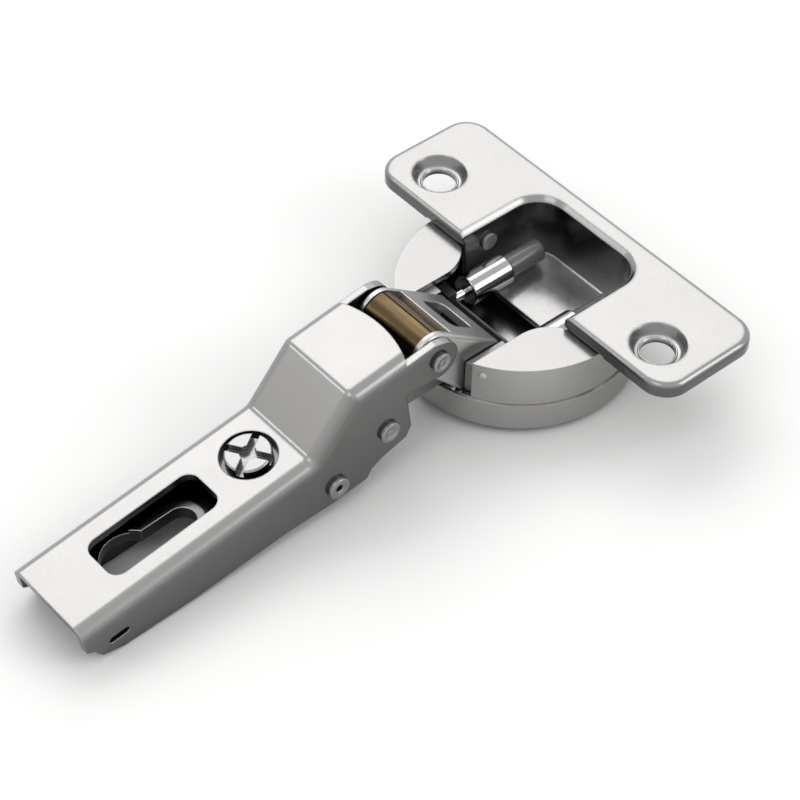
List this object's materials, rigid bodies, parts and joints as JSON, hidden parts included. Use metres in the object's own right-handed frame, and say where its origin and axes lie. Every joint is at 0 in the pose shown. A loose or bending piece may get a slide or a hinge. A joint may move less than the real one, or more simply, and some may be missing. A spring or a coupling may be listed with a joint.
{
  "type": "soft-close concealed cabinet hinge",
  "caption": "Cup hinge for a cabinet door: drilled-in drum with screw wings, two links and a cranked arm with a slide-on mounting channel, shown open at its stop",
  "frame": {"origin": "on the cup drum's axis, in the plane of the door's inner face", "axes": "+Z out of the cup's mouth, away from the door; the arm runs along -X; the screw wings lie along Y"},
  "size_m": [0.0977, 0.0598, 0.022],
  "materials": {
    "nickel_plated_steel": "bright nickel over cold-rolled steel, lightly rolled grain",
    "zinc_link": "nickel-plated cast lever",
    "block_zinc": "die-cast zinc, satin",
    "bronze": "rolled bush, dull",
    "spring_steel": "hardened strip",
    "slider_plastic": "dark moulded slider",
    "plug_plastic": "grey moulded plug",
    "rod_steel": "ground rod",
    "seal_rubber": "piston seal"
  },
  "bodies": {
    "cup": {"wing_plate": "nickel_plated_steel", "cup_drum": "nickel_plated_steel", "bearing_block": "block_zinc", "outer_link_pin_left": "nickel_plated_steel", "outer_link_pin_right": "nickel_plated_steel", "inner_link_pin": "nickel_plated_steel", "drum_rivet_left": "nickel_plated_steel", "drum_rivet_right": "nickel_plated_steel", "damper_rivet_left": "nickel_plated_steel", "damper_rivet_right": "nickel_plated_steel", "damper_cylinder_left": "nickel_plated_steel", "damper_cylinder_right": "nickel_plated_steel", "damper_plug_left": "plug_plastic", "damper_plug_right": "plug_plastic"},
    "outer_link": {"outer_link": "nickel_plated_steel"},
    "inner_link": {"inner_link": "zinc_link"},
    "arm": {"arm_shell": "nickel_plated_steel", "nose_pin": "nickel_plated_steel", "link_rivet": "nickel_plated_steel", "channel_eyelet": "nickel_plated_steel", "closing_spring": "spring_steel"},
    "nose_bush": {"nose_bush": "bronze"},
    "damper_slider": {"damper_slider": "slider_plastic", "damper_rod_left": "rod_steel", "damper_rod_right": "rod_steel", "piston_seal_left": "seal_rubber", "piston_seal_right": "seal_rubber"},
    "mounting_channel": {"mounting_channel": "nickel_plated_steel"},
    "side_screw": {"side_screw": "nickel_plated_steel"}
  },
  "joints": [
    {"name": "fold", "type": "hinge", "parent": "cup", "child": "outer_link", "pos_m": [-0.013, 0, -0.006], "axis": [0, 1, 0], "range_deg": [0, 88.8]},
    {"name": "arm_fold", "type": "hinge", "parent": "outer_link", "child": "arm", "pos_m": [-0.0212, 0, 0.004], "axis": [0, 1, 0], "range_deg": [0, 6]},
    {"name": "inner_fold", "type": "hinge", "parent": "cup", "child": "inner_link", "pos_m": [-0.0108, 0, -0.0079], "axis": [0, 1, 0], "range_deg": [0, 79.6]},
    {"name": "damper_stroke", "type": "slide", "parent": "cup", "child": "damper_slider", "axis": [1, 0, 0], "range_m": [0, 0.0021]},
    {"name": "bush_spin", "type": "hinge", "parent": "arm", "child": "nose_bush", "pos_m": [-0.0212, 0, 0.004], "axis": [0, 1, 0], "continuous": true},
    {"name": "side_tilt", "type": "hinge", "parent": "arm", "child": "mounting_channel", "pos_m": [-0.0388, 0, -0.0083], "axis": [0, 1, 0], "range_deg": [-2, 2]},
    {"name": "side_screw_turn", "type": "hinge", "parent": "arm", "child": "side_screw", "pos_m": [-0.04753, 0, -0.00317], "axis": [-0.1478, 0, 0.989], "range_deg": [-150, 150]}
  ],
  "couplings": [
    {"joint": "arm_fold", "follows": "fold", "ratio": 0.0675},
    {"joint": "inner_fold", "follows": "fold", "ratio": 0.896},
    {"joint": "damper_stroke", "follows": "fold", "m_per_rad": 0.001354},
    {"joint": "side_screw_turn", "follows": "side_tilt", "ratio": -72}
  ]
}
